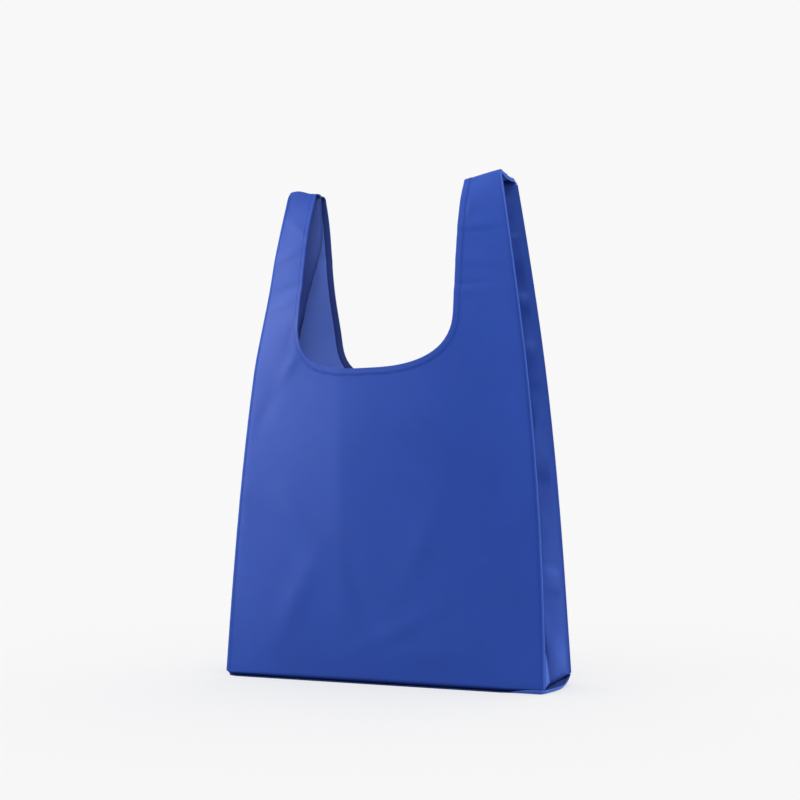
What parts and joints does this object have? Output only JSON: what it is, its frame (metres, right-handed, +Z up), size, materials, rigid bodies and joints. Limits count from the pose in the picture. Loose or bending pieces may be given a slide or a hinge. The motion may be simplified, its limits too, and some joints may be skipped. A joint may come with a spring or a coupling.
{
  "type": "reusable vest-style shopping bag",
  "caption": "Vest-style carrier bag in woven polyester with loop handles, folded side gussets, a wide neck cut-out and a flat sewn base, standing open and empty.",
  "frame": {"origin": "middle of the base, on the surface the bag stands on", "axes": "+Z up towards the handle crowns, +X along the base to the right-hand handle, the front panel faces -Y"},
  "size_m": [0.4166, 0.1432, 0.5989],
  "materials": {
    "panel_cloth": "matte woven polyester",
    "gusset_cloth": "matte woven polyester",
    "base_cloth": "matte woven polyester"
  },
  "bodies": {
    "root": {"front_panel": "panel_cloth", "back_panel": "panel_cloth", "gusset_left": "gusset_cloth", "gusset_right": "gusset_cloth", "base_panel": "base_cloth"}
  },
  "joints": []
}
